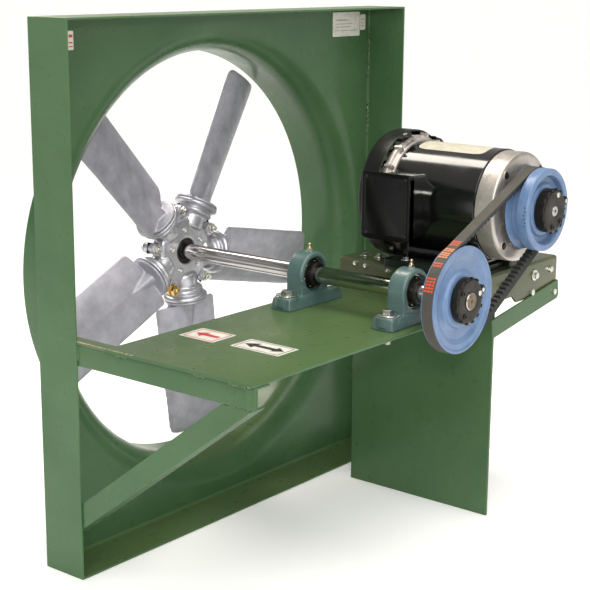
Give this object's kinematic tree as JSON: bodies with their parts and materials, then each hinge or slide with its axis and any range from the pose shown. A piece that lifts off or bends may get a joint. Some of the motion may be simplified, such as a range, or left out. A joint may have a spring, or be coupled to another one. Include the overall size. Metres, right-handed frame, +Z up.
{
  "type": "belt-drive panel fan",
  "caption": "Square flanged panel with a spun venturi and a bladed propeller on a bearing shelf, driven by an electric motor through a V-belt.",
  "frame": {"origin": "underside of the bottom flange, midway across the panel and midway along the flange's depth", "axes": "+Z up, +Y out of the back of the venturi along the fan shaft (the way the air leaves), -Y towards the belt drive, +X to the motor's side"},
  "size_m": [0.762, 0.6033, 0.777],
  "materials": {
    "panel_paint": "semi-gloss enamel",
    "casting_paint": "semi-gloss enamel on iron castings",
    "sheave_paint": "semi-gloss enamel",
    "motor_paint": "gloss enamel",
    "bushing": "black oxide",
    "aluminium": "as cast",
    "steel": "ground",
    "zinc": "bright zinc plate",
    "brass": "machined",
    "rubber": "matte",
    "lamination": "stacked laminations"
  },
  "bodies": {
    "frame": {"panel_sheet": "panel_paint", "venturi_ring": "panel_paint", "flange_left": "panel_paint", "flange_right": "panel_paint", "flange_top": "panel_paint", "flange_bottom": "panel_paint", "bearing_shelf": "panel_paint", "shelf_side_angle": "panel_paint", "left_brace": "panel_paint", "support_plate": "panel_paint", "right_brace": "panel_paint", "motor_base": "panel_paint", "pillow_block_front": "casting_paint", "pillow_block_rear": "casting_paint", "motor_slide_plate": "motor_paint", "motor_foot": "motor_paint", "motor_shell": "motor_paint", "motor_fan_cover": "motor_paint", "conduit_box": "motor_paint", "conduit_cover": "motor_paint", "motor_front_bell": "aluminium", "motor_rear_bell": "aluminium", "bearing_outer_front": "steel", "bearing_outer_rear": "steel", "block_bolt_front_left": "zinc", "block_bolt_front_right": "zinc", "block_bolt_rear_left": "zinc", "block_bolt_rear_right": "zinc", "slide_bolt_1": "zinc", "slide_bolt_2": "zinc", "slide_bolt_3": "zinc", "slide_bolt_4": "zinc", "grease_fitting_front": "brass", "grease_fitting_rear": "brass", "v_belt": "rubber", "stator_core": "lamination"},
    "fan_rotor": {"fan_shaft": "steel", "hub_front": "aluminium", "hub_rear": "aluminium", "fan_blade_1": "aluminium", "fan_blade_2": "aluminium", "fan_blade_3": "aluminium", "fan_blade_4": "aluminium", "fan_blade_5": "aluminium", "hub_bushing": "bushing", "driven_bushing": "bushing", "bearing_inner_front": "bushing", "bearing_inner_rear": "bushing", "driven_sheave": "sheave_paint"},
    "motor_rotor": {"motor_shaft": "steel", "motor_bearing_front": "steel", "motor_bearing_rear": "steel", "rotor_core": "lamination", "cooling_fan": "motor_paint", "motor_sheave": "sheave_paint", "motor_bushing": "bushing"}
  },
  "joints": [
    {"name": "fan_spin", "type": "hinge", "parent": "frame", "child": "fan_rotor", "pos_m": [0, 0, 0.394], "axis": [0, 1, 0], "continuous": true},
    {"name": "motor_spin", "type": "hinge", "parent": "frame", "child": "motor_rotor", "pos_m": [0.199, 0, 0.496], "axis": [0, 1, 0], "continuous": true}
  ],
  "couplings": [
    {"joint": "motor_spin", "follows": "fan_spin", "ratio": 1.259}
  ]
}
